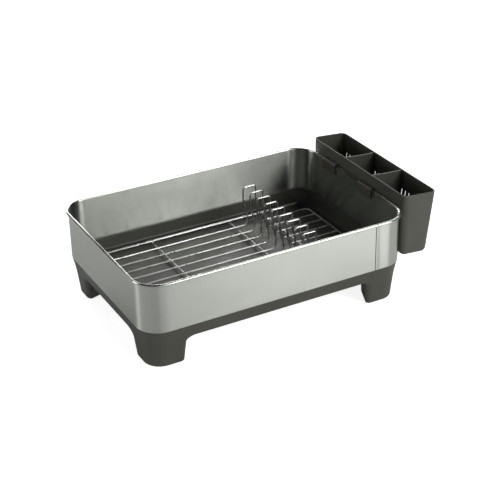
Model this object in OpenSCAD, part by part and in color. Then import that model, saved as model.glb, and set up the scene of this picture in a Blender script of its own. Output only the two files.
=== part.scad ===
// Dish drying rack: a steel surround on a footed plastic tray, with a lift-out wire rack
// and a hang-on cutlery holder. Millimetres, Z up, floor at z = 0. The long side runs along X
// and the cutlery holder hangs on the +X end.

/* [Steel surround] */
// Length over the flat outer faces of the steel
surround_l = 470; // [450:1:480]
// Width over the flat outer faces of the steel
surround_w = 324; // [318:1:334]
// Outer radius of the four upright corners
corner_r = 39; // [36:0.5:42]
// Height of the top of the rolled rim above the floor
rim_top = 152; // [150:0.5:156]
// Height of the lower edge of the steel above the floor
steel_bottom = 67; // [65:0.5:69]
// Sheet thickness
steel_t = 1; // [0.8:0.1:1.2]
// Radius of the rolled rim
rim_r = 2.2; // [2:0.1:2.4]
// Distance of the lapped seam from the middle, along the front
seam_x = 173; // [160:1:180]

/* [Base tray] */
// Height of the lower edge of the plastic skirt
skirt_bottom = 45; // [43:0.5:47]
// How far the skirt's lower edge lies inside the steel
skirt_inset = 5; // [4:0.5:6]
// Height of the inner ledge the steel stands around
ledge_top = 73.5; // [72:0.5:75]
// Width of the inner ledge
ledge_w = 5; // [4:0.5:6]
// Height of the tray floor's upper face
floor_top = 51; // [50.5:0.1:51.2]
// Thickness of the tray floor
floor_t = 2.5; // [2:0.1:3]
// Length of a leg along the long side
leg_l = 72; // [68:1:74]
// Length of a leg along the short side
leg_w = 71; // [67:1:73]
// How far a leg's foot lies inside the steel
foot_inset = 10; // [9:0.5:11]
// How far the rubber pads stand out below the legs
pad_drop = 0.5; // [0.4:0.1:1.5]

/* [Wire rack] */
// Height of the centre of the thin wires
wire_z = 59; // [58.5:0.1:60]
// Radius of the thin wires
wire_r = 1.3; // [1.2:0.05:1.4]
// Radius of the cross rods
rod_r = 1.5; // [1.4:0.05:1.6]
// Radius of the two side rails
rail_r = 2; // [1.8:0.1:2.2]
// Spacing of the thin wires, the room for one plate
wire_pitch = 25; // [24:0.25:25.5]
// Distance of the end bars from the middle
bar_x = 204; // [198:1:206]
// Distance of the side rails from the middle
rail_y = 127; // [124:0.5:128]
// Height of the centre of the top of a plate loop
loop_top = 131.5; // [120:0.5:135]
// Where the near leg of a plate loop leaves the base
loop_x = 81; // [60:1:90]
// Width of a plate loop
loop_w = 24.5; // [20:0.5:28]
// How far the top of a plate loop leans back
loop_lean = 7.5; // [5:0.5:9]

/* [Cutlery holder] */
// Height of the top edge
holder_top = 174; // [170:1:178]
// Height of the underside
holder_bottom = 64; // [61:1:67]
// Length along the rim
holder_l = 283; // [270:1:290]
// Depth at the top edge
holder_d = 65; // [62:1:68]
// How much less deep it is at the bottom
holder_taper = 14.5; // [12:0.5:16]
// Degrees by which the holder's rim and floor slope down away from the rack
holder_tilt = 4.5; // [3:0.5:6]
// Gap between the steel and the holder's near wall
holder_gap = 5; // [4.5:0.1:5.5]
// Wall thickness
holder_t = 2; // [1.8:0.1:2.5]
// Distance of the two dividers from the middle
divider_y = 42; // [38:1:46]

/* [Hidden] */
$fn = 48;
half_l = surround_l / 2;
half_w = surround_w / 2;
// Centre of the rolled rim, measured outwards from the steel's outer face
rim_out = 1.7;
rim_z = rim_top - rim_r;
rod_z = wire_z - wire_r - rod_r;
rail_z = rod_z + rod_r + rail_r;
holder_x = half_l + holder_gap;
// Middle of the whole object's length, which the model is centred on
centre_x = (holder_x + holder_d - half_l - rim_out - rim_r) / 2;
// Where the two hook tabs of the holder sit along the rim, and their width
tab_y = [75.5, -36];
tab_w = 38;
tab_t = 2.2;
// Distance between the upright slots in the holder's far wall
slot_step = 10.2;
// Radii of the wire's bends at the foot and at the top of a plate loop
base_bend = 8;
top_bend = 4;
// Clear space kept between the holder or the rack and what they rest on
rest_gap = 0.2;
corner_signs = [[1, 1], [-1, 1], [-1, -1], [1, -1]];

// Moves a piece from the surround's own centre to the centre of the whole object
module placed() {
    translate([-centre_x, 0, 0]) children();
}

// A closed band: the children are its section, x measured outwards from the outer face, y upwards
module ring(l, w, r) {
    sides = [[l / 2, 0, w - 2 * r], [0, w / 2, l - 2 * r],
        [-l / 2, 0, w - 2 * r], [0, -w / 2, l - 2 * r]];
    for (i = [0:3]) {
        c = corner_signs[i];
        translate([c[0] * (l / 2 - r), c[1] * (w / 2 - r), 0])
            rotate([0, 0, 90 * i]) rotate_extrude(angle = 90) translate([r, 0]) children();
        s = sides[i];
        translate([s[0], s[1], 0]) rotate([0, 0, 90 * i]) translate([0, s[2] / 2, 0])
            rotate([90, 0, 0]) linear_extrude(s[2]) children();
    }
}

// A flat plate with round corners, its underside at z = 0
module plate(l, w, h, r) {
    translate([-l / 2 + r, -w / 2, 0]) cube([l - 2 * r, w, h]);
    for (s = [-1, 1]) {
        translate([s * (l / 2 - r / 2) - r / 2, -w / 2 + r, 0]) cube([r, w - 2 * r, h]);
    }
    for (i = [0:3]) {
        c = corner_signs[i];
        translate([c[0] * (l / 2 - r), c[1] * (w / 2 - r), 0])
            rotate([0, 0, 90 * i]) rotate_extrude(angle = 90) square([r, h]);
    }
}

// One level of a leg in plan: two ends along the outer walls, and an inner side drawn in between
// them, all rounded; the outermost disc has the wide corner radius
module leg_level(z, inset, l, w) {
    r = 10;
    translate([half_l - corner_r, half_w - corner_r, z]) cylinder(h = 0.5, r = corner_r - inset, $fn = 64);
    translate([half_l - 42, half_w - 48, z]) cylinder(h = 0.5, r = r, $fn = 32);
    translate([half_l - l + r, half_w - inset - r, z]) cylinder(h = 0.5, r = r, $fn = 32);
    translate([half_l - inset - r, half_w - w + r, z]) cylinder(h = 0.5, r = r, $fn = 32);
}

// The hollow of the leg in the +X +Y corner, which its rubber pad plugs
module leg_hollow(z, h) {
    translate([half_l - 48, half_w - 53, z]) cube([27, 32, h]);
}

module base_tray() {
    o = skirt_inset;
    color([0.2, 0.2, 0.19]) placed() difference() {
        union() {
            ring(surround_l, surround_w, corner_r) polygon([
                [-0.2, steel_bottom], [-steel_t, steel_bottom], [-steel_t, ledge_top],
                [-steel_t - ledge_w, ledge_top], [-steel_t - ledge_w - 3.5, floor_top],
                [-14, floor_top], [-14, floor_top - floor_t],
                [-o - 2.5, floor_top - floor_t], [-o - 2.5, skirt_bottom], [-o, skirt_bottom]
            ]);
            translate([0, 0, floor_top - floor_t])
                plate(surround_l - 28, surround_w - 28, floor_t, corner_r - 14);
            for (c = corner_signs) {
                scale([c[0], c[1], 1]) hull() {
                    leg_level(floor_top - floor_t - 0.5, o, leg_l, leg_w);
                    leg_level(pad_drop, foot_inset, leg_l - 2, leg_w - 2);
                }
            }
        }
        for (c = corner_signs) {
            scale([c[0], c[1], 1]) leg_hollow(0, floor_top - floor_t);
        }
    }
}

module foot_pad(sx, sy) {
    color([0.08, 0.08, 0.08]) placed() scale([sx, sy, 1]) leg_hollow(0, 6);
}

module foot_pad_front_left() foot_pad(-1, -1);
module foot_pad_front_right() foot_pad(1, -1);
module foot_pad_back_left() foot_pad(-1, 1);
module foot_pad_back_right() foot_pad(1, 1);

module steel_surround() {
    color([0.75, 0.76, 0.74]) placed() difference() {
        ring(surround_l, surround_w, corner_r) union() {
            translate([-steel_t, steel_bottom]) square([steel_t, rim_z - steel_bottom]);
            translate([rim_out, rim_z]) circle(rim_r);
        }
        translate([seam_x, -half_w - 1, steel_bottom - 1])
            cube([1, 1.5, rim_z - rim_r - steel_bottom]);
    }
}

// A quarter bend of wire in the XY plane about the point [x, y], starting at angle a
module bend(x, y, a, b, r) {
    translate([x, y, 0]) rotate([0, 0, a]) rotate_extrude(angle = 90)
        translate([b, 0]) circle(r);
}

// A straight piece of wire in the XY plane
module run(x, y, a, l, r) {
    translate([x, y, 0]) rotate([0, 0, a]) rotate([0, 90, 0]) cylinder(h = l, r = r);
}

// One leaning leg of a plate loop, from its base bend at x up to the bend at the top
module loop_leg(x, r) {
    low = wire_z + (loop_top - wire_z) * 0.3;
    high = loop_top - (loop_top - wire_z) * 0.37;
    run(x, wire_z + base_bend, 90, low - wire_z - base_bend, r);
    run(x, low, 90 + atan(loop_lean / (high - low)), norm([loop_lean, high - low]), r);
    run(x - loop_lean, high, 90, loop_top - top_bend - high, r);
    translate([x, low, 0]) sphere(r + 0.08);
    translate([x - loop_lean, high, 0]) sphere(r + 0.08);
}

// One plate loop with its base wire, from x = -e to x = e, standing up along Z
module loop_wire(e) {
    x = loop_x;
    w = loop_w;
    b = base_bend;
    c = top_bend;
    r = wire_r;
    rotate([90, 0, 0]) {
        run(-e, wire_z, 0, x - b + e, r);
        bend(x - b, wire_z + b, -90, b, r);
        loop_leg(x, r);
        bend(x - loop_lean + c, loop_top - c, 90, c, r);
        run(x - loop_lean + c, loop_top, 0, w - 2 * c, r);
        bend(x - loop_lean + w - c, loop_top - c, 0, c, r);
        loop_leg(x + w, r);
        bend(x + w + b, wire_z + b, 180, b, r);
        run(x + w + b, wire_z, 0, e - x - w - b, r);
    }
}

module plate_wire(k) {
    color([0.86, 0.87, 0.87]) placed()
        translate([0, (5 - k) * wire_pitch, 0]) loop_wire(bar_x - wire_r);
}

module plate_wire_2() plate_wire(2);
module plate_wire_3() plate_wire(3);
module plate_wire_4() plate_wire(4);
module plate_wire_5() plate_wire(5);
module plate_wire_6() plate_wire(6);
module plate_wire_7() plate_wire(7);
module plate_wire_8() plate_wire(8);

// The first and the last plate wire with both end bars: one closed wire
module outer_plate_wire() {
    b = 8;
    y = 4 * wire_pitch;
    color([0.86, 0.87, 0.87]) placed() {
        for (s = [-1, 1]) {
            translate([0, s * y, 0]) loop_wire(bar_x - b);
            translate([s * bar_x, y - b, wire_z]) rotate([90, 0, 0])
                cylinder(h = 2 * (y - b), r = wire_r);
        }
        for (i = [0:3]) {
            c = corner_signs[i];
            translate([c[0] * (bar_x - b), c[1] * (y - b), wire_z]) rotate([0, 0, 90 * i])
                rotate_extrude(angle = 90) translate([b, 0]) circle(wire_r);
        }
    }
}

module rack_rail(s) {
    color([0.86, 0.87, 0.87]) placed() translate([-bar_x - 2, s * rail_y, rail_z])
        rotate([0, 90, 0]) cylinder(h = 2 * bar_x + 4, r = rail_r);
}

module rack_rail_back() rack_rail(1);
module rack_rail_front() rack_rail(-1);

module rack_cross_rod(x) {
    color([0.8, 0.81, 0.81]) placed() translate([x, rail_y + 1, rod_z])
        rotate([90, 0, 0]) cylinder(h = 2 * rail_y + 2, r = rod_r);
}

module rack_cross_rod_left() rack_cross_rod(-90);
module rack_cross_rod_middle() rack_cross_rod(loop_x - 22);
module rack_cross_rod_right() rack_cross_rod(loop_x + loop_w + 20);

// A rubber foot with a blind bore that takes the end of a rail
module rack_foot(sx, sy) {
    z = floor_top + rest_gap;
    color([0.08, 0.08, 0.08]) placed() scale([sx, sy, 1]) difference() {
        translate([bar_x, rail_y, z]) cylinder(h = rail_z + rail_r + 1 - z, r = 5.5);
        translate([bar_x - 8, rail_y, rail_z]) rotate([0, 90, 0]) cylinder(h = 10, r = rail_r);
    }
}

module rack_foot_back_left() rack_foot(-1, 1);
module rack_foot_back_right() rack_foot(1, 1);
module rack_foot_front_left() rack_foot(-1, -1);
module rack_foot_front_right() rack_foot(1, -1);

// The holder as a solid block, drawn in by t on every side, its upright corners rounded by r:
// a straight near half and a far half that leans with the far wall
module holder_block(t, r, top) {
    h = holder_top - holder_bottom;
    w = holder_l - 2 * t;
    lean = atan(holder_taper / h);
    intersection() {
        union() {
            translate([holder_x + t + 20, 0, holder_bottom - 10]) plate(40, w, h + 20, r);
            translate([holder_x + holder_d, 0, holder_top - holder_d * tan(holder_tilt)])
                rotate([0, lean, 0]) translate([-t - 22, 0, -h - 10]) plate(44, w, h + 20, r);
        }
        translate([holder_x, 0, holder_top]) rotate([0, holder_tilt, 0])
            translate([-20, 0, t - h + (h + 40) / 2]) rotate([0, 90, 0])
                plate(h + 40, w, holder_d + 40, r + 1);
        translate([holder_x, 0, holder_top]) rotate([0, holder_tilt, 0])
            translate([-20, -w / 2 - 5, -h]) cube([holder_d + 40, w + 10, h + top]);
    }
}

module cutlery_holder() {
    z0 = holder_bottom;
    z_tab = rim_top + rest_gap;
    x_tab = half_l - steel_t - 0.5 - tab_t;
    color([0.22, 0.21, 0.2]) placed() {
        difference() {
            holder_block(0, 8, 0);
            holder_block(holder_t, 6, 5);
            for (i = [-12:12]) {
                if (abs(i) != 4) {
                    translate([holder_x + holder_d - 20, i * slot_step - 1.5, 86]) cube([30, 3, 52]);
                }
            }
            for (y = [-118, -94, -70, -24, 0, 24, 70, 94, 118]) {
                for (x = [14, 26, 38]) {
                    translate([holder_x + x, y, z0 - 8]) cylinder(h = 14, r = 2.5, $fn = 24);
                }
            }
        }
        intersection() {
            holder_block(holder_t / 2, 7, -1);
            for (s = [-1, 1]) {
                translate([holder_x, s * divider_y - 0.9, z0 - 8]) cube([holder_d, 1.8, holder_top - z0 + 8]);
            }
        }
        for (y = tab_y) {
            translate([x_tab, y - tab_w / 2, z_tab]) cube([holder_x + 1 - x_tab, tab_w, 2.8]);
            translate([x_tab, y - tab_w / 2, rim_top - 17]) cube([tab_t, tab_w, 17 + rest_gap]);
        }
    }
}

base_tray();
foot_pad_front_left();
foot_pad_front_right();
foot_pad_back_left();
foot_pad_back_right();
steel_surround();
rack_rail_back();
rack_rail_front();
rack_cross_rod_left();
rack_cross_rod_middle();
rack_cross_rod_right();
outer_plate_wire();
plate_wire_2();
plate_wire_3();
plate_wire_4();
plate_wire_5();
plate_wire_6();
plate_wire_7();
plate_wire_8();
rack_foot_back_left();
rack_foot_back_right();
rack_foot_front_left();
rack_foot_front_right();
cutlery_holder();
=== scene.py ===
"""Looks of the dish drying rack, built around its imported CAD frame. Metres, Z up, floor at z = 0."""
import math

import bmesh
import bpy
from mathutils import Matrix, Vector


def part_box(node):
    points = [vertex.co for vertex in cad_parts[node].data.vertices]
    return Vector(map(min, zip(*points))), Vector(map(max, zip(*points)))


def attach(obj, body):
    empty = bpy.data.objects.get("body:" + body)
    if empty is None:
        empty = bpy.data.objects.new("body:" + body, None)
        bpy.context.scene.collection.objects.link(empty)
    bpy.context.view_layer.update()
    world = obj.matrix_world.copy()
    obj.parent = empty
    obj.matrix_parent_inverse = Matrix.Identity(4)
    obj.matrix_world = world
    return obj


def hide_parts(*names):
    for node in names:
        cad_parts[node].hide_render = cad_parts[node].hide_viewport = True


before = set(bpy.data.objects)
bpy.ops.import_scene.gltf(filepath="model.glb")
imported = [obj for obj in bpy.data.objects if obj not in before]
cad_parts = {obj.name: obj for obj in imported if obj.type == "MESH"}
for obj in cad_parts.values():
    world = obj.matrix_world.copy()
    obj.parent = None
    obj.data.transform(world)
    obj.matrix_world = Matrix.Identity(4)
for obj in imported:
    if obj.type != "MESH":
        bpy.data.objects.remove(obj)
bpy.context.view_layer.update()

MM = 0.001


# ---------------------------------------------------------------- sizes

def middle(name, axis):
    """The middle of a CAD node's box along one axis."""
    low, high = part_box(name)
    return (low[axis] + high[axis]) / 2


STEEL_LOW, STEEL_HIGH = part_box("steel_surround")
TRAY_LOW, TRAY_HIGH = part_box("base_tray")
WIRE_LOW, WIRE_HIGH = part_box("outer_plate_wire")
HOLDER_LOW, HOLDER_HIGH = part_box("cutlery_holder")
# All pieces are drawn round the surround's own centre and moved to the frame at the end
CENTRE_X = middle("steel_surround", 0)

# The steel surround, with half its length and width taken to the flat outer faces.
# The overhang is how far the rolled rim stands out of them in the frame
RIM_OVERHANG = 3.9 * MM
HALF_L = (STEEL_HIGH.x - STEEL_LOW.x) / 2 - RIM_OVERHANG
HALF_W = (STEEL_HIGH.y - STEEL_LOW.y) / 2 - RIM_OVERHANG
RIM_TOP = STEEL_HIGH.z
STEEL_BOTTOM = STEEL_LOW.z
STEEL_T = 1 * MM
CORNER_R = 39 * MM
RIM_R = 2.35 * MM
# How far the sheet's lower edge stays above the frame's, clear of the tray's shoulder
STEEL_LIFT = 0.15 * MM
# Rounding of the lower edge: how far in from the face, and how far up
SHEET_EDGE = ((0.25 * MM, 0), (0.06 * MM, 0.08 * MM), (0, 0.3 * MM))
# The lapped seam on the front is a groove, with a shallow one beside it
SEAM_X = 173 * MM
SEAM_DEPTH = 0.7 * MM
LAP_X = SEAM_X + 6.6 * MM
LAP_DEPTH = 0.15 * MM
# Half the width of either groove, and how high both reach: just into the rolled rim's underside
GROOVE_W = 0.6 * MM
GROOVE_TOP = RIM_TOP - 4.4 * MM

# The moulded tray
LEDGE_TOP = TRAY_HIGH.z
LEDGE_W = 5 * MM
LEDGE_EDGE_R = 0.9 * MM
FLOOR_TOP = 51 * MM
FLOOR_EDGE_R = 5 * MM
# How far the tray's inner wall leans in from the ledge down to the floor
WALL_LEAN = 3.5 * MM
SKIRT_BOTTOM = 45 * MM
# How far the outer wall lies inside the steel at its top, at the skirt's lower edge and at the foot
INSET_TOP = 0.2 * MM
INSET_KNEE = 5 * MM
INSET_FOOT = 10 * MM
# The bend between its two slopes starts and ends this far from the skirt's lower edge
KNEE_REACH = 10 * MM
LIP_W = 2.5 * MM
RECESS = 3.5 * MM

# The legs
LEG_BOTTOM = TRAY_LOW.z
LEG_L = 72 * MM
LEG_W = 71 * MM
LEG_X0 = HALF_L - LEG_L
LEG_Y0 = HALF_W - LEG_W
LEG_TAPER = 2 * MM
# How far a leg's inner corner is drawn in towards the outer corner, and where that starts
DRAW_X = 20 * MM
DRAW_Y = 13 * MM
DRAW_START = 12 * MM
# Radius of the upright edges at a leg's two ends
LEG_END_R = 10 * MM
LEG_FILLET = 12 * MM
LEG_INNER_R = 10 * MM
EDGE_R = 1.5 * MM
# Depth of the hollow under a leg
LEG_HOLLOW = 3 * MM
# The rubber pads, in the hollows of the legs
PAD_GAP = 0.6 * MM
PAD_H = 3.4 * MM
PAD_EDGE_R = 0.7 * MM

# The wire rack
WIRE_R = 1.3 * MM
ROD_R = 1.5 * MM
RAIL_R = 2 * MM
WIRE_Z = WIRE_LOW.z + WIRE_R
BAR_X = 204 * MM
OUTER_CORNER_R = 8 * MM
LOOP_TOP = WIRE_HIGH.z - WIRE_R
LOOP_X = 81 * MM
LOOP_W = 24.5 * MM
LOOP_LEAN = 7.5 * MM
# The leaning stretch of a loop's legs, as parts of its height from the base and from the top
LEAN_FROM_BASE = 0.3
LEAN_FROM_TOP = 0.37
BASE_BEND = 8 * MM
LEAN_BEND = 14 * MM
TOP_BEND = 4 * MM
# Half the width of a weld between a wire and a cross rod, and between a rail and a cross rod
WIRE_WELD = 1.5 * MM
RAIL_WELD = 1.9 * MM
# A foot's sleeve over the rail: its ends, inwards from the foot's axis, and its wall
SLEEVE_REACH = (3 * MM, 8 * MM)
SLEEVE_T = 0.9 * MM

# The cutlery holder. Its rim and its floor fall away from the rack
HOLDER_X = HALF_L + 5 * MM
HOLDER_FAR = HOLDER_HIGH.x - CENTRE_X
HOLDER_ANGLE = math.radians(4.5)
HOLDER_SLOPE = math.tan(HOLDER_ANGLE)
# Its height square to the rim, and how much less deep it is at the bottom
HOLDER_H = 110 * MM
HOLDER_TAPER = 14.5 * MM
# Levels of the rim and the underside at the near wall
HOLDER_TOP = HOLDER_HIGH.z
HOLDER_BOTTOM = HOLDER_TOP - HOLDER_H / math.cos(HOLDER_ANGLE)
# How far the far wall comes in for each metre below the rim
HOLDER_LEAN = HOLDER_TAPER / (HOLDER_H + HOLDER_TAPER * HOLDER_SLOPE)
HOLDER_T = 2 * MM
HOLDER_CORNER_R = 10 * MM
HOLDER_FOOT_R = 9 * MM
HOLDER_LIP_R = 0.8 * MM
DIVIDER_Y = 42 * MM
DIVIDER_T = 1.8 * MM
# How far a divider's top lies below the rim, and how much lower it is in the middle
DIVIDER_DROP = 1.2 * MM
DIVIDER_DISH = 0.7 * MM
# Slots in the far wall, counted from the middle; two of them are left out
SLOT_STEP = 10.2 * MM
SLOT_R = 1.5 * MM
SLOT_LOW = 86 * MM
SLOT_HIGH = 138 * MM
SLOTS_EACH_SIDE = 12
SLOT_LEFT_OUT = 4
# Drain holes: three by three under each compartment
DRAIN_R = 2.5 * MM
DRAIN_X = 26 * MM
DRAIN_X_STEP = 12 * MM
DRAIN_Y_STEP = 24 * MM
DRAIN_GROUPS = (-94 * MM, 0, 94 * MM)
# The two hook tabs over the rim
TAB_Y = (75.5 * MM, -36 * MM)
TAB_W = 38 * MM
TAB_T = 2.2 * MM
TAB_BEND = 3.2 * MM
# How far a tab stands above the rolled rim, and how far it reaches down inside the steel
TAB_RISE = 3 * MM
TAB_DROP = 17 * MM

# Distance from an edge at which a flat face gets an extra row, so that its shading stays flat
GUARD = 1.2 * MM
CORNER_STEPS = 18
EDGE_STEPS = 6
WALL_STEPS = 5

# The four corners of the outline, anticlockwise from +X +Y
CORNERS = ((1, 1), (-1, 1), (-1, -1), (1, -1))
CORNER_NAMES = ("back_right", "back_left", "front_left", "front_right")


# ---------------------------------------------------------------- mesh tools

def arc(a0, a1, steps):
    """Angles in radians from a0 to a1 degrees, both ends included."""
    return [math.radians(a0 + (a1 - a0) * i / steps) for i in range(steps + 1)]


def arc_points(x, y, radius, a0, a1, steps):
    """Points of an arc round (x, y), from a0 to a1 degrees."""
    return [(x + radius * math.cos(a), y + radius * math.sin(a)) for a in arc(a0, a1, steps)]


def round_row(x, y, z, radius, steps):
    """A closed row round an upright axis."""
    return [(px, py, z) for px, py in arc_points(x, y, radius, 0, 360, steps)[:-1]]


class Shell:
    """Collects the points and faces of a piece."""

    def __init__(self):
        self.points = []
        self.faces = []

    def loft(self, rows, closed=True, cap_first=False, cap_last=False):
        """Joins rows of the same length by quads, with a face over the first or the last if asked."""
        n = len(rows[0])
        starts = [len(self.points) + n * i for i in range(len(rows))]
        for row in rows:
            self.points.extend(row)
        for a, b in zip(starts, starts[1:]):
            for i in range(n if closed else n - 1):
                j = (i + 1) % n
                self.faces.append((a + i, a + j, b + j, b + i))
        if cap_first:
            self.faces.append(tuple(range(starts[0], starts[0] + n)))
        if cap_last:
            self.faces.append(tuple(reversed(range(starts[-1], starts[-1] + n))))

    def solid(self, rows):
        """Closed rows, with a face over each end."""
        self.loft(rows, cap_first=True, cap_last=True)

    def prism_along_x(self, outline, x0, x1):
        """A (y, z) outline extruded along X."""
        self.solid([[(x, y, z) for y, z in outline] for x in (x0, x1)])

    def prism_along_y(self, outline, y0, y1):
        """An (x, z) outline extruded along Y."""
        self.solid([[(x, y, z) for x, z in outline] for y in (y0, y1)])


def mesh_object(name, shell):
    """An object of a shell, moved to the frame, with equal points joined and faces turned outwards."""
    mesh = bpy.data.meshes.new(name)
    mesh.from_pydata([(x + CENTRE_X, y, z) for x, y, z in shell.points], [], shell.faces)
    bm = bmesh.new()
    bm.from_mesh(mesh)
    bmesh.ops.remove_doubles(bm, verts=bm.verts, dist=0.005 * MM)
    bmesh.ops.dissolve_degenerate(bm, edges=bm.edges, dist=0.001 * MM)
    bmesh.ops.recalc_face_normals(bm, faces=bm.faces)
    bm.to_mesh(mesh)
    bm.free()
    obj = bpy.data.objects.new(name, mesh)
    bpy.context.scene.collection.objects.link(obj)
    return obj


def shade(obj, sharp):
    """Smooth shading, with edges sharper than this many degrees kept sharp."""
    for face in obj.data.polygons:
        face.use_smooth = True
    obj.data.set_sharp_from_angle(angle=math.radians(sharp))


def dress(obj, body, material, node_name):
    """Gives a piece its material, ties it to its body and hides the CAD node that it stands for."""
    obj.data.materials.clear()
    obj.data.materials.append(material)
    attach(obj, body)
    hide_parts(node_name)


def finished(name, shell, body, material, node_name, sharp=32):
    """Makes a shell into a whole piece."""
    obj = mesh_object(name, shell)
    shade(obj, sharp)
    dress(obj, body, material, node_name)


def apply_modifiers(obj):
    """Bakes an object's modifiers into its mesh."""
    graph = bpy.context.evaluated_depsgraph_get()
    done = bpy.data.meshes.new_from_object(obj.evaluated_get(graph))
    obj.modifiers.clear()
    obj.data = done


def combine(target, tool, operation):
    """Joins or cuts a closed mesh with another, and removes the tool."""
    modifier = target.modifiers.new(operation, "BOOLEAN")
    modifier.operation = operation
    modifier.solver = "EXACT"
    modifier.object = tool
    apply_modifiers(target)
    bpy.data.objects.remove(tool)


# ---------------------------------------------------------------- outlines of the surround
# A station is (x, y, nx, ny): a point on the flat outer face and the direction outwards from it

def corner_stations():
    """Stations round the +X +Y corner, from +X to +Y."""
    cx, cy = HALF_L - CORNER_R, HALF_W - CORNER_R
    return [(cx + CORNER_R * math.cos(a), cy + CORNER_R * math.sin(a), math.cos(a), math.sin(a))
            for a in arc(0, 90, CORNER_STEPS)]


def turned(stations, sx, sy):
    """The stations mirrored into another corner, kept anticlockwise."""
    out = [(x * sx, y * sy, nx * sx, ny * sy) for x, y, nx, ny in stations]
    return out if sx * sy > 0 else out[::-1]


def outline_sides(along_x, along_y):
    """Stations on the four sides, each anticlockwise: on the right, back, left and front."""
    return ([(HALF_L, y, 1, 0) for y in sorted(along_y)],
            [(x, HALF_W, 0, 1) for x in sorted(along_x, reverse=True)],
            [(-HALF_L, y, -1, 0) for y in sorted(along_y, reverse=True)],
            [(x, -HALF_W, 0, -1) for x in sorted(along_x)])


def round_outline(sides, quarter):
    """Stations round the whole outline, from those on its sides and those of the +X +Y corner."""
    stations = []
    for side, signs in zip(sides, CORNERS):
        stations += side + turned(quarter, *signs)
    return stations


def ring(stations, offset, z):
    """A row of points at this offset outwards from the outer face."""
    return [(x + nx * offset, y + ny * offset, z) for x, y, nx, ny in stations]


# ---------------------------------------------------------------- material tools
# The owner of a node is a material or the world

def node(owner, kind, inputs=None, **settings):
    """A new node with these settings and values of its inputs."""
    made = owner.node_tree.nodes.new(kind)
    for key, value in settings.items():
        setattr(made, key, value)
    for key, value in (inputs or {}).items():
        made.inputs[key].default_value = value
    return made


def link(owner, output, socket):
    owner.node_tree.links.new(output, socket)


def new_material(name, **values):
    """A material with one Principled shader, and that shader with its plain values set."""
    material = bpy.data.materials.new(name)
    material.use_nodes = True
    material.node_tree.nodes.clear()
    out = node(material, "ShaderNodeOutputMaterial")
    shader = node(material, "ShaderNodeBsdfPrincipled")
    for key, value in values.items():
        shader.inputs[key.replace("_", " ")].default_value = value
    link(material, shader.outputs["BSDF"], out.inputs["Surface"])
    return material, shader


def maths(owner, operation, *operands):
    """The result of a Math node on plain numbers and other nodes' outputs."""
    made = node(owner, "ShaderNodeMath", operation=operation)
    for socket, operand in zip(made.inputs, operands):
        if isinstance(operand, float):
            socket.default_value = operand
        else:
            link(owner, operand, socket)
    return made.outputs["Value"]


def noise(material, scale, detail, stretch=(1, 1, 1)):
    """Noise in object space; the higher a stretch factor, the finer it is along that axis."""
    where = node(material, "ShaderNodeTexCoord")
    shift = node(material, "ShaderNodeMapping", {"Scale": stretch})
    texture = node(material, "ShaderNodeTexNoise", {"Scale": scale, "Detail": detail, "Roughness": 0.6})
    link(material, where.outputs["Object"], shift.inputs["Vector"])
    link(material, shift.outputs["Vector"], texture.inputs["Vector"])
    return texture.outputs["Fac"]


def ranged(material, value, low, high, from_low=0.3, from_high=0.7):
    """Maps a value to the range from low to high; a noise lies mostly between 0.3 and 0.7."""
    made = node(material, "ShaderNodeMapRange", {
        "From Min": from_low, "From Max": from_high, "To Min": low, "To Max": high})
    link(material, value, made.inputs["Value"])
    return made.outputs["Result"]


def coloured(material, value, dark, light):
    """Two colours mixed by a noise."""
    mix = node(material, "ShaderNodeMix", {"A": (*dark, 1), "B": (*light, 1)}, data_type="RGBA")
    link(material, ranged(material, value, 0, 1), mix.inputs["Factor"])
    return mix.outputs["Result"]


def bumped(material, shader, height, distance, strength, below=None):
    """Adds a bump to the shader's normal, on top of an earlier bump node."""
    made = node(material, "ShaderNodeBump", {"Strength": strength, "Distance": distance})
    link(material, height, made.inputs["Height"])
    if below is not None:
        link(material, below.outputs["Normal"], made.inputs["Normal"])
    link(material, made.outputs["Normal"], shader.inputs["Normal"])
    return made


# ---------------------------------------------------------------- materials

def seam_shade(material, colour):
    """Darkens the steel in the gap of the lapped seam, which no light reaches."""
    place = node(material, "ShaderNodeSeparateXYZ")
    link(material, node(material, "ShaderNodeTexCoord").outputs["Object"], place.inputs["Vector"])
    away = maths(material, "ABSOLUTE", maths(material, "SUBTRACT", place.outputs["X"], CENTRE_X + SEAM_X))
    dark_to, clear_from = 0.5 * MM, 0.8 * MM
    beside = ranged(material, away, 0, 1, dark_to, clear_from)
    # Whatever lies further back than the groove's bottom is left as it is
    past_bottom = 0.15 * MM
    behind = maths(material, "GREATER_THAN", place.outputs["Y"], SEAM_DEPTH + past_bottom - HALF_W)
    mix = node(material, "ShaderNodeMix", {"A": (0.03, 0.03, 0.027, 1)}, data_type="RGBA")
    link(material, maths(material, "MAXIMUM", beside, behind), mix.inputs["Factor"])
    link(material, colour, mix.inputs["B"])
    return mix.outputs["Result"]


def brushed_steel():
    """Satin sheet, brushed lengthways: long fine lines round the band, and faint broad clouding."""
    material, shader = new_material(
        "brushed_steel", Metallic=1.0, Anisotropic=1.0, Anisotropic_Rotation=0.25)
    lines = noise(material, 60, 4, (0.25, 0.25, 60))
    clouds = noise(material, 9, 3, (1, 1, 2.2))
    tint = coloured(material, lines, (0.61, 0.635, 0.585), (0.675, 0.70, 0.645))
    link(material, seam_shade(material, tint), shader.inputs["Base Color"])
    rough = maths(material, "ADD", ranged(material, lines, 0.23, 0.27),
                  ranged(material, clouds, -0.01, 0.01))
    link(material, rough, shader.inputs["Roughness"])
    tangent = node(material, "ShaderNodeTangent", direction_type="RADIAL", axis="Z")
    link(material, tangent.outputs["Tangent"], shader.inputs["Tangent"])
    bumped(material, shader, lines, 0.01 * MM, 0.06)
    return material


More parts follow.
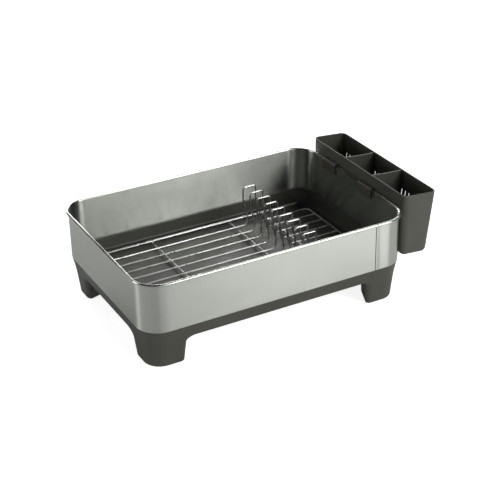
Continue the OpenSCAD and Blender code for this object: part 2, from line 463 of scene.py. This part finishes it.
def bright_wire():
    """Plated wire: bright, with slight drawing marks and a little clouding."""
    material, shader = new_material("bright_wire", Metallic=1.0)
    marks = noise(material, 240, 3)
    clouds = noise(material, 35, 4)
    bright = (0.78, 0.78, 0.77)
    dull = tuple(c * 0.86 for c in bright)
    link(material, coloured(material, clouds, dull, bright), shader.inputs["Base Color"])
    link(material, ranged(material, clouds, 0.24, 0.34), shader.inputs["Roughness"])
    bumped(material, shader, marks, 0.03 * MM, 0.25)
    return material


def moulded_plastic(name, dark, light, smooth, rough):
    """Satin moulded plastic with a fine spark-eroded grain."""
    material, shader = new_material(name, IOR=1.5)
    grain = noise(material, 1500, 2)
    clouds = noise(material, 22, 4)
    link(material, coloured(material, clouds, dark, light), shader.inputs["Base Color"])
    link(material, ranged(material, clouds, smooth, rough), shader.inputs["Roughness"])
    waves = bumped(material, shader, clouds, 0.05 * MM, 0.3)
    bumped(material, shader, grain, 0.02 * MM, 0.5, waves)
    return material


def black_rubber():
    """Dull black rubber, a little blotchy, with a coarse grain."""
    material, shader = new_material("black_rubber")
    grain = noise(material, 900, 3)
    clouds = noise(material, 60, 3)
    blotches = coloured(material, clouds, (0.012, 0.012, 0.012), (0.03, 0.029, 0.028))
    link(material, blotches, shader.inputs["Base Color"])
    link(material, ranged(material, clouds, 0.55, 0.75), shader.inputs["Roughness"])
    bumped(material, shader, grain, 0.04 * MM, 0.5)
    return material


STEEL = brushed_steel()
WIRE = bright_wire()
PLASTIC = moulded_plastic(
    "warm_grey_plastic", (0.052, 0.052, 0.042), (0.064, 0.064, 0.052), 0.40, 0.50)
HOLDER_PLASTIC = moulded_plastic(
    "holder_plastic", (0.062, 0.061, 0.050), (0.072, 0.071, 0.058), 0.36, 0.46)
RUBBER = black_rubber()


# ---------------------------------------------------------------- steel surround

def steel_profile():
    """Closed section of the sheet, as (offset outwards, z): outer face, rolled rim, inner face."""
    low = STEEL_BOTTOM + STEEL_LIFT
    rim_x, rim_z = RIM_R - STEEL_T, RIM_TOP - RIM_R
    # The crease is where the rim's curl meets the outer face
    crease = math.degrees(math.acos(-rim_x / RIM_R))
    crease_z = rim_z - math.sqrt(RIM_R ** 2 - rim_x ** 2)
    points = [(-inwards, low + up) for inwards, up in SHEET_EDGE]
    points += [(0, low + GUARD), (0, crease_z - GUARD), (0, crease_z)]
    points += arc_points(rim_x, rim_z, RIM_R, 3 - crease, 180, 26)
    points += [(-STEEL_T, rim_z - GUARD), (-STEEL_T, low + GUARD)]
    return points + [(inwards - STEEL_T, low + up) for inwards, up in reversed(SHEET_EDGE)]


def grooved(stations):
    """The stations with those in the middle of a groove on the front moved in."""
    tiny = 0.01 * MM
    out = []
    for x, y, nx, ny in stations:
        for groove_x, depth in ((SEAM_X, SEAM_DEPTH), (LAP_X, LAP_DEPTH)):
            if ny == -1 and abs(x - groove_x) < tiny:
                y += depth
        out.append((x, y, nx, ny))
    return out


def steel_surround():
    """The sheet band with its rolled rim, and its lapped seam on the front."""
    end_x, end_y = HALF_L - CORNER_R - GUARD, HALF_W - CORNER_R - GUARD
    marks_x = [-end_x, -90 * MM, 0, 90 * MM, end_x, SEAM_X - 2 * GROOVE_W]
    for groove_x in (SEAM_X, LAP_X):
        marks_x += [groove_x - GROOVE_W, groove_x, groove_x + GROOVE_W]
    stations = round_outline(outline_sides(marks_x, [-end_y, 0, end_y]), corner_stations())
    with_grooves = grooved(stations)
    rows = []
    for offset, z in steel_profile():
        outside = offset > -STEEL_T / 2 and z < GROOVE_TOP
        rows.append(ring(with_grooves if outside else stations, offset, z))
    shell = Shell()
    shell.loft(rows + rows[:1])
    finished("steel_surround_sheet", shell, "base", STEEL, "steel_surround", sharp=28)


# ---------------------------------------------------------------- legs

def straight_inset(z):
    """How far the two slopes of the moulding's outer wall lie inside the steel's outer face."""
    if z > SKIRT_BOTTOM:
        part = (STEEL_BOTTOM - z) / (STEEL_BOTTOM - SKIRT_BOTTOM)
        return INSET_TOP + (INSET_KNEE - INSET_TOP) * part
    part = (SKIRT_BOTTOM - z) / (SKIRT_BOTTOM - LEG_BOTTOM)
    return INSET_KNEE + (INSET_FOOT - INSET_KNEE) * part


def skirt_inset(z):
    """How far the outer wall lies inside the steel's outer face, with the bend between its slopes."""
    above, below = SKIRT_BOTTOM + KNEE_REACH, SKIRT_BOTTOM - KNEE_REACH
    if not below < z < above:
        return straight_inset(z)
    t = (above - z) / (above - below)
    return ((1 - t) ** 2 * straight_inset(above) + 2 * t * (1 - t) * INSET_KNEE
            + t * t * straight_inset(below))


def leg_levels():
    """Rows down a leg: (angle of the edge's normal from straight down, flare, z of the side face)."""
    levels = []
    for a in arc(0, 90, 10):
        levels.append((a, LEG_FILLET * (1 - math.sin(a)), SKIRT_BOTTOM - LEG_FILLET * (1 - math.cos(a))))
    top = SKIRT_BOTTOM - LEG_FILLET
    foot = LEG_BOTTOM + EDGE_R
    steps = 6
    for i in range(1, steps + 1):
        levels.append((math.pi / 2, -LEG_TAPER * i / steps, top + (foot - top) * i / steps))
    return levels


def wall_stations(flare, edge_back):
    """Stations on a leg's outer wall in the +X +Y corner, from the end's side to the long side."""
    y_start = LEG_Y0 - flare + edge_back
    x_start = LEG_X0 - flare + edge_back
    cx, cy = HALF_L - CORNER_R, HALF_W - CORNER_R
    parts = [i / WALL_STEPS for i in range(WALL_STEPS + 1)]
    end_side = [(HALF_L, y_start + (cy - y_start) * t, 1, 0) for t in parts[:-1]]
    long_side = [(cx + (x_start - cx) * t, HALF_W, 0, 1) for t in parts[1:]]
    return end_side + corner_stations() + long_side


def drawn_in(points):
    """Moves points of a leg's inner side so that the leg narrows away from its outer walls."""
    moved = []
    for x, y, z in points:
        dx = max(0, HALF_L - x - DRAW_START) / (LEG_L - DRAW_START)
        dy = max(0, HALF_W - y - DRAW_START) / (LEG_W - DRAW_START)
        moved.append((x + DRAW_X * dx * dy, y + DRAW_Y * dx * dy, z))
    return moved


def inner_side(flare, depth, z):
    """A leg's side faces and inner corner, from the long side to the end, this deep inside them."""
    cx, cy = LEG_X0 + LEG_INNER_R, LEG_Y0 + LEG_INNER_R
    y0, x1 = HALF_W - depth, HALF_L - depth
    points = [(LEG_X0 - flare, y0 + (cy - y0) * t, z) for t in (0.35, 0.7)]
    points += [(x, y, z) for x, y in arc_points(cx, cy, LEG_INNER_R + flare, 180, 270, 10)]
    points += [(cx + (x1 - cx) * t, LEG_Y0 - flare, z) for t in (0.3, 0.65)]
    return points


def leg_row(level, shrink=0.0, z_drop=0.0):
    """One closed row round the leg in the +X +Y corner."""
    angle, flare, z_side = level
    flare -= shrink
    z_side -= z_drop
    normal_side, normal_down = math.sin(angle), math.cos(angle)
    edge_r = max(EDGE_R, EDGE_R + (LEG_END_R - EDGE_R) * normal_side ** 3 - shrink)
    z_wall = z_side + edge_r * normal_down
    outer = ring(wall_stations(flare, edge_r * normal_side), -skirt_inset(z_wall) - shrink, z_wall)
    # The rounded edge between the outer wall and a side face, as (distance from it, inset, z)
    edge = []
    for t in arc(0, 90, EDGE_STEPS)[1:]:
        reach = edge_r * (1 - math.sin(t))
        z = z_side + reach * normal_down
        edge.append((reach * normal_side, skirt_inset(z) + edge_r * (1 - math.cos(t)) + shrink, z))
    inner = [(LEG_X0 - flare + away, HALF_W - inset, z) for away, inset, z in edge]
    inner += inner_side(flare, skirt_inset(z_side) + edge_r + shrink, z_side)
    inner += [(HALF_L - inset, LEG_Y0 - flare + away, z) for away, inset, z in reversed(edge)]
    return outer + drawn_in(inner)


def mirrored(points, sx, sy):
    return [(x * sx, y * sy, z) for x, y, z in points]


def add_legs(shell):
    """The four legs: down the wall, round the lower edge, across the lip and up into the hollow."""
    levels = leg_levels()
    rows = [leg_row(level) for level in levels]
    for a in arc(0, 90, 4)[1:]:
        rows.append(leg_row(levels[-1], EDGE_R * (1 - math.cos(a)), EDGE_R * math.sin(a)))
    rows.append(leg_row(levels[-1], EDGE_R + LIP_W, EDGE_R))
    rows.append([(x, y, z + LEG_HOLLOW) for x, y, z in rows[-1]])
    for signs in CORNERS:
        shell.loft([mirrored(row, *signs) for row in rows], cap_last=True)


def foot_pads():
    """One rubber pad in the hollow of each leg, its edge rounded, standing out below the leg."""
    level = leg_levels()[-1]
    inner = EDGE_R + LIP_W + PAD_GAP
    # A drop of this much reaches the floor
    drop = EDGE_R + LEG_BOTTOM
    rows = [leg_row(level, inner, drop - PAD_H), leg_row(level, inner, drop - PAD_EDGE_R)]
    rows += [leg_row(level, inner + PAD_EDGE_R * (1 - math.cos(a)), drop - PAD_EDGE_R * (1 - math.sin(a)))
             for a in arc(0, 90, 4)[1:]]
    for signs, where in zip(CORNERS, CORNER_NAMES):
        shell = Shell()
        shell.solid([mirrored(row, *signs) for row in rows])
        finished("rubber_pad_" + where, shell, "base", RUBBER, "foot_pad_" + where)


# ---------------------------------------------------------------- base tray

# The legs' fillets start here, and these are the marks on the sides between them
GAP_X = LEG_X0 - LEG_FILLET
GAP_Y = LEG_Y0 - LEG_FILLET
BETWEEN_X = [-GAP_X / 2, 0.0, GAP_X / 2]
BETWEEN_Y = [0.0]


def tray_profile():
    """Section of the inside as (offset outwards, z): floor, its round edge, steep wall, ledge, shoulder."""
    wall_top = -STEEL_T - LEDGE_W
    wall_foot = wall_top - WALL_LEAN
    lean = math.atan2(WALL_LEAN, LEDGE_TOP - FLOOR_TOP)
    # Where the rounding at the floor and the one at the ledge have their centres
    foot_x = wall_foot + FLOOR_EDGE_R * (math.tan(lean) - 1 / math.cos(lean))
    edge_x = wall_top - LEDGE_EDGE_R * (math.tan(lean) - 1 / math.cos(lean))
    below_edge = 2.2 * MM
    steel = -STEEL_T - 0.05 * MM
    chamfer = 0.5 * MM
    shoulder = STEEL_BOTTOM - 0.1 * MM
    points = [(foot_x - GUARD, FLOOR_TOP)]
    points += arc_points(foot_x, FLOOR_TOP + FLOOR_EDGE_R, FLOOR_EDGE_R, -90, -math.degrees(lean), 8)
    points.append((wall_top - below_edge * math.tan(lean), LEDGE_TOP - below_edge))
    points += arc_points(edge_x, LEDGE_TOP - LEDGE_EDGE_R, LEDGE_EDGE_R, 180 - math.degrees(lean), 90, 4)
    points += [(edge_x + 0.6 * MM, LEDGE_TOP), (steel - chamfer, LEDGE_TOP), (steel, LEDGE_TOP - chamfer)]
    return points + [(steel, shoulder), (-0.6 * MM, shoulder)]


def add_tray(shell):
    """From the tray's floor up its inner wall, over the shoulder and down the outer wall."""
    stations = round_outline(outline_sides(BETWEEN_X, BETWEEN_Y), wall_stations(LEG_FILLET, 0))
    rows = [ring(stations, offset, z) for offset, z in tray_profile()]
    top = STEEL_BOTTOM - 0.3 * MM
    low = SKIRT_BOTTOM + EDGE_R
    steps = 6
    heights = [top] + [top - GUARD + (low - top + GUARD) * i / steps for i in range(steps + 1)]
    rows += [ring(stations, -skirt_inset(z), z) for z in heights]
    shell.loft(rows, cap_first=True)


def add_skirt_edge(shell):
    """The rounded lower edge of the skirt between the legs."""
    marks_x = [-GAP_X] + BETWEEN_X + [GAP_X]
    marks_y = [-GAP_Y] + BETWEEN_Y + [GAP_Y]
    edge = []
    for t in arc(0, 90, EDGE_STEPS):
        z = SKIRT_BOTTOM + EDGE_R * (1 - math.sin(t))
        edge.append((skirt_inset(z) + EDGE_R * (1 - math.cos(t)), z))
    for s in (-1, 1):
        shell.loft([[(x, s * (HALF_W - inset), z) for x in marks_x] for inset, z in edge], closed=False)
        shell.loft([[(s * (HALF_L - inset), y, z) for y in marks_y] for inset, z in edge], closed=False)


def under_row(extra, z):
    """A closed row on the underside: along the skirt between the legs and round each leg's inner side."""
    depth = skirt_inset(SKIRT_BOTTOM) + EDGE_R + extra
    flare = LEG_FILLET + extra
    start = [(LEG_X0 - flare, HALF_W - depth, z)]
    end = [(HALF_L - depth, LEG_Y0 - flare, z)]
    path = drawn_in(start + inner_side(flare, depth, z) + end)
    row = []
    for side, signs in zip(outline_sides(BETWEEN_X, BETWEEN_Y), CORNERS):
        corner = mirrored(path, *signs)
        row += ring(side, -depth, z) + (corner[::-1] if signs[0] * signs[1] > 0 else corner)
    return row


def add_underside(shell):
    """The lip round the underside, and the recess in it."""
    shell.loft([under_row(0, SKIRT_BOTTOM), under_row(LIP_W, SKIRT_BOTTOM),
                under_row(LIP_W, SKIRT_BOTTOM + RECESS)], cap_last=True)


def base_tray():
    """The tray, its outer wall and its legs: one moulding."""
    shell = Shell()
    add_tray(shell)
    add_legs(shell)
    add_skirt_edge(shell)
    add_underside(shell)
    finished("base_tray_moulding", shell, "base", PLASTIC, "base_tray", sharp=38)


# ---------------------------------------------------------------- wire rack

def rounded_path(points, radii, closed=False):
    """A path through the points, with the bend at each turned into an arc of its radius."""
    points = [Vector(p) for p in points]
    n = len(points)
    degrees_per_step = 9
    out = []
    for i, p in enumerate(points):
        if not closed and i in (0, n - 1):
            out.append(p)
            continue
        before = (points[i - 1] - p).normalized()
        after = (points[(i + 1) % n] - p).normalized()
        angle = before.angle(after)
        trim = radii[i] / math.tan(angle / 2)
        centre = p + (before + after).normalized() * radii[i] / math.sin(angle / 2)
        start, end = p + before * trim - centre, p + after * trim - centre
        axis = start.cross(end).normalized()
        turn = math.pi - angle
        steps = max(3, round(math.degrees(turn) / degrees_per_step))
        out += [centre + Matrix.Rotation(turn * k / steps, 3, axis) @ start for k in range(steps + 1)]
    return out


def path_frames(path, closed):
    """At each point of a path, its direction and two axes across it that turn as little as they can."""
    n = len(path)
    directions = []
    for i in range(n):
        before = path[i - 1] if closed or i else path[0]
        after = path[(i + 1) % n] if closed or i < n - 1 else path[-1]
        directions.append((after - before).normalized())
    side = directions[0].orthogonal().normalized()
    frames = []
    for direction in directions:
        side = (side - direction * side.dot(direction)).normalized()
        frames.append((direction, side.copy(), direction.cross(side)))
    return frames


def closing_twist(frames):
    """How far the axes have turned, in radians, once round a closed path."""
    direction, side, across = frames[0]
    last = frames[-1][1]
    end = (last - direction * last.dot(direction)).normalized()
    return math.atan2(end.dot(across), end.dot(side))


def tube(shell, path, radius, sides=14, closed=False):
    """Sweeps a round section along a path; the ends of an open path are rounded off."""
    n = len(path)
    frames = path_frames(path, closed)
    twist = closing_twist(frames) if closed else 0.0

    def section(i, r, shift=0.0):
        direction, side, across = frames[i]
        turn = -twist * i / n
        return [tuple(path[i] + direction * shift
                      + (side * math.cos(a + turn) + across * math.sin(a + turn)) * r)
                for a in arc(0, 360, sides)[:-1]]

    if closed:
        rows = [section(i, radius) for i in range(n)]
        shell.loft(rows + rows[:1])
        return
    end_r = 0.6 * radius
    end = [(radius - end_r * (1 - math.cos(a)), end_r * (1 - math.sin(a))) for a in arc(90, 0, 3)]
    rows = [section(0, r, shift) for r, shift in end]
    rows += [section(i, radius) for i in range(1, n - 1)]
    rows += [section(n - 1, r, -shift) for r, shift in reversed(end)]
    shell.solid(rows)


def weld(shell, x, y, z, size):
    """A small flattened bead of weld metal where two wires touch."""
    height = 0.6 * size
    shell.solid([round_row(x, y, z + height * math.sin(a), size * math.cos(a), 12)
                 for a in arc(-80, 80, 6)])


def loop_points(y):
    """Corners of one plate loop, walked along +X, with the radius of each bend."""
    low = WIRE_Z + (LOOP_TOP - WIRE_Z) * LEAN_FROM_BASE
    high = LOOP_TOP - (LOOP_TOP - WIRE_Z) * LEAN_FROM_TOP
    near, far = LOOP_X, LOOP_X + LOOP_W
    points = [(near, WIRE_Z), (near, low), (near - LOOP_LEAN, high), (near - LOOP_LEAN, LOOP_TOP),
              (far - LOOP_LEAN, LOOP_TOP), (far - LOOP_LEAN, high), (far, low), (far, WIRE_Z)]
    up = [BASE_BEND, LEAN_BEND, LEAN_BEND, TOP_BEND]
    return [(x, y, z) for x, z in points], up + up[::-1]


PLATE_WIRES = ["plate_wire_%d" % k for k in range(2, 9)]


def plate_wires():
    """The seven plate wires between the first and the last, each one bent rod."""
    end = BAR_X - 0.9 * WIRE_R
    for name in PLATE_WIRES:
        y = middle(name, 1)
        loop, radii = loop_points(y)
        path = rounded_path([(-end, y, WIRE_Z)] + loop + [(end, y, WIRE_Z)], [0] + radii + [0])
        shell = Shell()
        tube(shell, path, WIRE_R)
        finished("bent_" + name, shell, "wire_rack", WIRE, name, sharp=50)


def outer_wire():
    """The first and last plate wire and both end bars: one closed rod."""
    y = (WIRE_HIGH.y - WIRE_LOW.y) / 2 - WIRE_R
    front, radii = loop_points(-y)
    back = loop_points(y)[0][::-1]
    points = [(-BAR_X, -y, WIRE_Z)] + front + [(BAR_X, -y, WIRE_Z), (BAR_X, y, WIRE_Z)] + back
    points.append((-BAR_X, y, WIRE_Z))
    half = [OUTER_CORNER_R] + radii + [OUTER_CORNER_R]
    shell = Shell()
    tube(shell, rounded_path(points, half + half, closed=True), WIRE_R, closed=True)
    finished("bent_outer_plate_wire", shell, "wire_rack", WIRE, "outer_plate_wire", sharp=50)


def cross_rods():
    """The three thin rods under the wires, with a weld at each wire and each rail."""
    wire_rows = [WIRE_HIGH.y - WIRE_R] + [middle(name, 1) for name in PLATE_WIRES] + [WIRE_LOW.y + WIRE_R]
    rail_y = middle("rack_rail_back", 1)
    for where in ("left", "middle", "right"):
        name = "rack_cross_rod_" + where
        low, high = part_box(name)
        x, z = middle(name, 0) - CENTRE_X, middle(name, 2)
        shell = Shell()
        tube(shell, [Vector((x, low.y, z)), Vector((x, high.y, z))], ROD_R, sides=16)
        for y in wire_rows:
            weld(shell, x, y, z + ROD_R, WIRE_WELD)
        for y in (-rail_y, rail_y):
            weld(shell, x, y, z + ROD_R, RAIL_WELD)
        finished("welded_" + name, shell, "wire_rack", WIRE, name, sharp=50)


def rails():
    """The two thick rails that carry the rack."""
    for where in ("front", "back"):
        name = "rack_rail_" + where
        low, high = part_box(name)
        y, z = middle(name, 1), middle(name, 2)
        shell = Shell()
        ends = [Vector((x - CENTRE_X, y, z)) for x in (low.x, high.x)]
        tube(shell, ends, RAIL_R, sides=20)
        finished("round_" + name, shell, "wire_rack", WIRE, name, sharp=50)


def foot_profile(r, base, top):
    """Section of a rack foot as (radius, z): a small hollow, a rounded base, a waist and a dome."""
    waist = r - 0.7 * MM
    dome = 2.2 * MM
    profile = [(r * 0.55, base + 0.5 * MM), (r * 0.62, base)]
    profile += [(r - 0.8 * MM, base), (r - 0.25 * MM, base + 0.2 * MM), (r, base + 0.8 * MM)]
    profile += [(r, base + 2.2 * MM), (r - 0.5 * MM, base + 3.2 * MM), (waist, top - dome)]
    return profile + arc_points(waist - dome, top - dome, dome, 18, 90, 4)


def rack_feet():
    """A rubber foot on each end of a rail: a round foot with a domed top and a sleeve over the rail."""
    rail_z = middle("rack_rail_back", 2)
    for where in ("back_left", "back_right", "front_left", "front_right"):
        name = "rack_foot_" + where
        low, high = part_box(name)
        x, y = middle(name, 0) - CENTRE_X, middle(name, 1)
        shell = Shell()
        profile = foot_profile((high.x - low.x) / 2, low.z, high.z)
        shell.solid([round_row(x, y, z, r, 28) for r, z in profile])
        inward = -1 if x > 0 else 1
        sleeve = [Vector((x + inward * reach, y, rail_z)) for reach in SLEEVE_REACH]
        tube(shell, sleeve, RAIL_R + SLEEVE_T, sides=20)
        finished("rubber_" + name, shell, "wire_rack", RUBBER, name, sharp=40)


# ---------------------------------------------------------------- cutlery holder
# A level is named by its height at the near wall, and falls away from the rack

def fallen(x, z):
    """The height at x of a level that is at height z on the near wall."""
    return z - (x - HOLDER_X) * HOLDER_SLOPE


def far_wall(z):
    """Where the far wall's outer face is at a level."""
    return HOLDER_FAR - HOLDER_LEAN * (HOLDER_TOP - z)


def holder_row(z, inset, radius):
    """A closed row round the holder at one level, drawn in by inset."""
    x0, x1 = HOLDER_X + inset, far_wall(z) - inset
    y1 = (HOLDER_HIGH.y - HOLDER_LOW.y) / 2 - inset
    guard = 0.8 * MM
    # Directions back along the straight before each of the four bends, and along the first again
    back = ((0, -1), (1, 0), (0, 1), (-1, 0), (0, -1))
    points = []
    for quarter, (sx, sy) in enumerate(CORNERS):
        cx, cy = (x1 if sx > 0 else x0) - sx * radius, sy * (y1 - radius)
        bend = arc_points(cx, cy, radius, 90 * quarter, 90 * quarter + 90, 8)
        (x, y), (back_x, back_y) = bend[0], back[quarter]
        before = (x + back_x * guard, y + back_y * guard)
        (x, y), (back_x, back_y) = bend[-1], back[quarter + 1]
        after = (x - back_x * guard, y - back_y * guard)
        points += [before] + bend + [after]
    return [(x, y, fallen(x, z)) for x, y in points]


def holder_foot(inset, radius):
    """Rows round the holder's lower edge, upwards, on the face that lies this far inside the outer one."""
    rows = []
    for a in arc(90, 0, 7):
        deeper = inset + radius * (1 - math.cos(a))
        z = HOLDER_BOTTOM + HOLDER_FOOT_R - radius * math.sin(a)
        rows.append(holder_row(z, deeper, max(HOLDER_CORNER_R - deeper, 1.2 * MM)))
    return rows


def holder_shell():
    """The open box of the holder: up the outside, over the rim and down the inside."""
    foot, lip = HOLDER_BOTTOM + HOLDER_FOOT_R, HOLDER_TOP - HOLDER_LIP_R
    walls = [foot + (HOLDER_TOP - foot) * t for t in (0.1, 0.35, 0.6, 0.85)] + [lip - GUARD]
    over = [(HOLDER_LIP_R * (1 - math.cos(a)), lip + HOLDER_LIP_R * math.sin(a)) for a in arc(0, 90, 3)]
    inner_r = HOLDER_CORNER_R - HOLDER_T
    rows = holder_foot(0, HOLDER_FOOT_R)
    rows += [holder_row(z, 0, HOLDER_CORNER_R) for z in walls]
    rows += [holder_row(z, inset, HOLDER_CORNER_R - inset) for inset, z in over]
    rows += [holder_row(z, HOLDER_T - inset, inner_r + inset) for inset, z in reversed(over)]
    rows += [holder_row(z, HOLDER_T, inner_r) for z in reversed(walls)]
    rows += holder_foot(HOLDER_T, HOLDER_FOOT_R - HOLDER_T)[::-1]
    shell = Shell()
    shell.solid(rows)
    return shell


def add_dividers(shell):
    """The two dividers, a little lower than the rim and dished between the walls."""
    bite = 1 * MM
    into_far_wall = 1.2 * MM
    x0 = HOLDER_X + bite
    x1 = far_wall(HOLDER_TOP - bite) - into_far_wall
    low = HOLDER_BOTTOM + bite
    outline = [(x0, low), (far_wall(low) - into_far_wall, low)]
    steps = 12
    for i in range(steps, -1, -1):
        t = i / steps
        dish = DIVIDER_DISH * math.sin(math.pi * t)
        outline.append((x0 + (x1 - x0) * t, HOLDER_TOP - DIVIDER_DROP - dish))
    outline = [(x, fallen(x, z)) for x, z in outline]
    for y in (-DIVIDER_Y, DIVIDER_Y):
        shell.prism_along_y(outline, y - DIVIDER_T / 2, y + DIVIDER_T / 2)


def add_tabs(shell):
    """The hook tabs: over the rolled rim and down inside the steel."""
    wall = HOLDER_X + 1 * MM
    top, foot = RIM_TOP + TAB_RISE, RIM_TOP - TAB_DROP
    steel_side = HALF_L - STEEL_T - 0.5 * MM
    rack_side = steel_side - TAB_T
    bend_x, bend_z = rack_side + TAB_BEND, top - TAB_BEND
    outline = [(wall, RIM_TOP + 0.2 * MM), (wall, top)]
    outline += arc_points(bend_x, bend_z, TAB_BEND, 90, 180, 8)
    outline += [(rack_side, foot + 0.8 * MM), (rack_side + 0.8 * MM, foot)]
    outline += [(steel_side - 0.5 * MM, foot), (steel_side, foot + 0.6 * MM)]
    outline += arc_points(bend_x, bend_z - 0.6 * MM, TAB_BEND - TAB_T, 180, 90, 5)
    for y in TAB_Y:
        shell.prism_along_y(outline, y - TAB_W / 2, y + TAB_W / 2)


def add_slots(shell):
    """Cutters for the upright slots in the far wall, each with round ends."""
    near, far = HOLDER_FAR - 20 * MM, HOLDER_FAR + 10 * MM
    for i in range(-SLOTS_EACH_SIDE, SLOTS_EACH_SIDE + 1):
        if abs(i) != SLOT_LEFT_OUT:
            y = i * SLOT_STEP
            outline = arc_points(y, SLOT_HIGH - SLOT_R, SLOT_R, 0, 180, 8)
            outline += arc_points(y, SLOT_LOW + SLOT_R, SLOT_R, 180, 360, 8)
            shell.prism_along_x(outline, near, far)


def add_drain_holes(shell):
    """Cutters for the drain holes in the bottom."""
    low, high = HOLDER_BOTTOM - 8 * MM, HOLDER_BOTTOM + 6 * MM
    for group_y in DRAIN_GROUPS:
        for row in (-1, 0, 1):
            for column in (-1, 0, 1):
                x = HOLDER_X + DRAIN_X + column * DRAIN_X_STEP
                y = group_y + row * DRAIN_Y_STEP
                shell.solid([round_row(x, y, z, DRAIN_R, 16) for z in (low, high)])


def cutlery_holder():
    """The holder with its dividers, tabs, slots and drain holes: one moulding, its edges softened."""
    holder = mesh_object("cutlery_holder_bin", holder_shell())
    walls = Shell()
    add_dividers(walls)
    add_tabs(walls)
    combine(holder, mesh_object("holder_walls", walls), "UNION")
    cuts = Shell()
    add_slots(cuts)
    add_drain_holes(cuts)
    combine(holder, mesh_object("holder_cuts", cuts), "DIFFERENCE")
    bevel = holder.modifiers.new("edges", "BEVEL")
    bevel.width = 0.25 * MM
    bevel.segments = 2
    bevel.limit_method = "ANGLE"
    bevel.angle_limit = math.radians(60)
    apply_modifiers(holder)
    shade(holder, 30)
    weighted = holder.modifiers.new("normals", "WEIGHTED_NORMAL")
    weighted.keep_sharp = True
    apply_modifiers(holder)
    dress(holder, "holder", HOLDER_PLASTIC, "cutlery_holder")


# ---------------------------------------------------------------- studio

WHITE = (1, 1, 1, 1)
FLOOR_REACH = 30
# How strongly the floor glows for the camera, and how strongly it lights plain surfaces from below
GLOW_SEEN = 0.85
GLOW_BELOW = 0.6
# Every softbox stands this far from the middle of the rack, is this high, and is turned towards it
LAMP_DISTANCE = 3
LAMP_HEIGHT = 1.06
LAMP_AIM = Vector((0, 0, 0.08))
# The camera's place, the direction from the rack towards it in degrees, its roll and its lens
CAMERA_PLACE = Vector((-0.90772, -1.67228, 1.09880))
CAMERA_AZIMUTH = -118.624
CAMERA_ELEVATION = 28.481
CAMERA_ROLL = -0.908
CAMERA_LENS = 93.27
CAMERA_SHIFT = (-0.0075, 0.0013)


def direction_to(azimuth, elevation):
    """The unit vector towards an azimuth and an elevation in degrees; azimuth 0 is +X."""
    a, e = math.radians(azimuth), math.radians(elevation)
    return Vector((math.cos(e) * math.cos(a), math.cos(e) * math.sin(a), math.sin(e)))


def pale_floor():
    """A wide plain floor. It glows for the camera and for plain surfaces, as a lit white sweep does."""
    mesh = bpy.data.meshes.new("floor")
    mesh.from_pydata([(sx * FLOOR_REACH, sy * FLOOR_REACH, 0) for sx, sy in CORNERS], [], [(0, 1, 2, 3)])
    floor = bpy.data.objects.new("floor", mesh)
    bpy.context.scene.collection.objects.link(floor)
    material, shader = new_material(
        "pale_floor", Base_Color=(0.86, 0.86, 0.86, 1), Roughness=0.9, Specular_IOR_Level=0.1,
        Emission_Color=WHITE)
    path = node(material, "ShaderNodeLightPath")
    below = maths(material, "MULTIPLY", path.outputs["Is Diffuse Ray"], GLOW_BELOW)
    glow = maths(material, "MULTIPLY_ADD", path.outputs["Is Camera Ray"], GLOW_SEEN, below)
    link(material, glow, shader.inputs["Emission Strength"])
    floor.data.materials.append(material)


def softbox(name, azimuth, elevation, width, power):
    """A soft rectangular light, placed by its azimuth and elevation."""
    data = bpy.data.lights.new(name, "AREA")
    data.shape = "RECTANGLE"
    data.size, data.size_y, data.energy = width, LAMP_HEIGHT, power
    lamp = bpy.data.objects.new(name, data)
    away = direction_to(azimuth, elevation)
    lamp.location = LAMP_AIM + LAMP_DISTANCE * away
    lamp.rotation_euler = (lamp.location - LAMP_AIM).to_track_quat("Z", "Y").to_euler()
    bpy.context.scene.collection.objects.link(lamp)


def lights():
    """Softboxes in front, behind and on the left, the low ones at 10 degrees and the high ones at 30."""
    softbox("key", 300, 30, 0.92, 37)
    softbox("key_side", 280, 30, 0.92, 5.5)
    softbox("front_low", 300, 10, 1.04, 9.2)
    softbox("front_left_low", 270, 10, 2.08, 8.8)
    softbox("back_low", 80, 10, 1.04, 45)
    softbox("back_left_low", 100, 10, 1.04, 18.5)
    softbox("back_high", 50, 30, 1.84, 30)
    softbox("left_low", 158, 10, 1.04, 14)
    softbox("left_high", 160, 30, 0.92, 5.7)


def surroundings():
    """White for the camera, and nearly dark for everything else."""
    world = bpy.data.worlds.new("studio")
    world.use_nodes = True
    world.node_tree.nodes.clear()
    out = node(world, "ShaderNodeOutputWorld")
    seen = node(world, "ShaderNodeBackground", {"Color": WHITE})
    around = node(world, "ShaderNodeBackground", {"Color": WHITE, "Strength": 0.02})
    mix = node(world, "ShaderNodeMixShader")
    link(world, node(world, "ShaderNodeLightPath").outputs["Is Camera Ray"], mix.inputs["Fac"])
    link(world, around.outputs["Background"], mix.inputs[1])
    link(world, seen.outputs["Background"], mix.inputs[2])
    link(world, mix.outputs["Shader"], out.inputs["Surface"])
    bpy.context.scene.world = world


def camera():
    """Stands to the front left, above the rack, and looks down on it."""
    back = direction_to(CAMERA_AZIMUTH, CAMERA_ELEVATION)
    roll = math.radians(CAMERA_ROLL)
    level = (-back).cross(Vector((0, 0, 1))).normalized()
    plumb = level.cross(-back)
    right = math.cos(roll) * level + math.sin(roll) * plumb
    up = math.cos(roll) * plumb - math.sin(roll) * level
    data = bpy.data.cameras.new("camera")
    data.lens = CAMERA_LENS
    data.sensor_width = 36
    data.shift_x, data.shift_y = CAMERA_SHIFT
    data.clip_end = 200
    cam = bpy.data.objects.new("camera", data)
    turn = Matrix((right, up, back)).transposed().to_4x4()
    cam.matrix_world = Matrix.Translation(CAMERA_PLACE) @ turn
    bpy.context.scene.collection.objects.link(cam)
    bpy.context.scene.camera = cam


steel_surround()
base_tray()
foot_pads()
plate_wires()
outer_wire()
cross_rods()
rails()
rack_feet()
cutlery_holder()
pale_floor()
lights()
surroundings()
camera()
bpy.context.scene.view_settings.view_transform = "Standard"
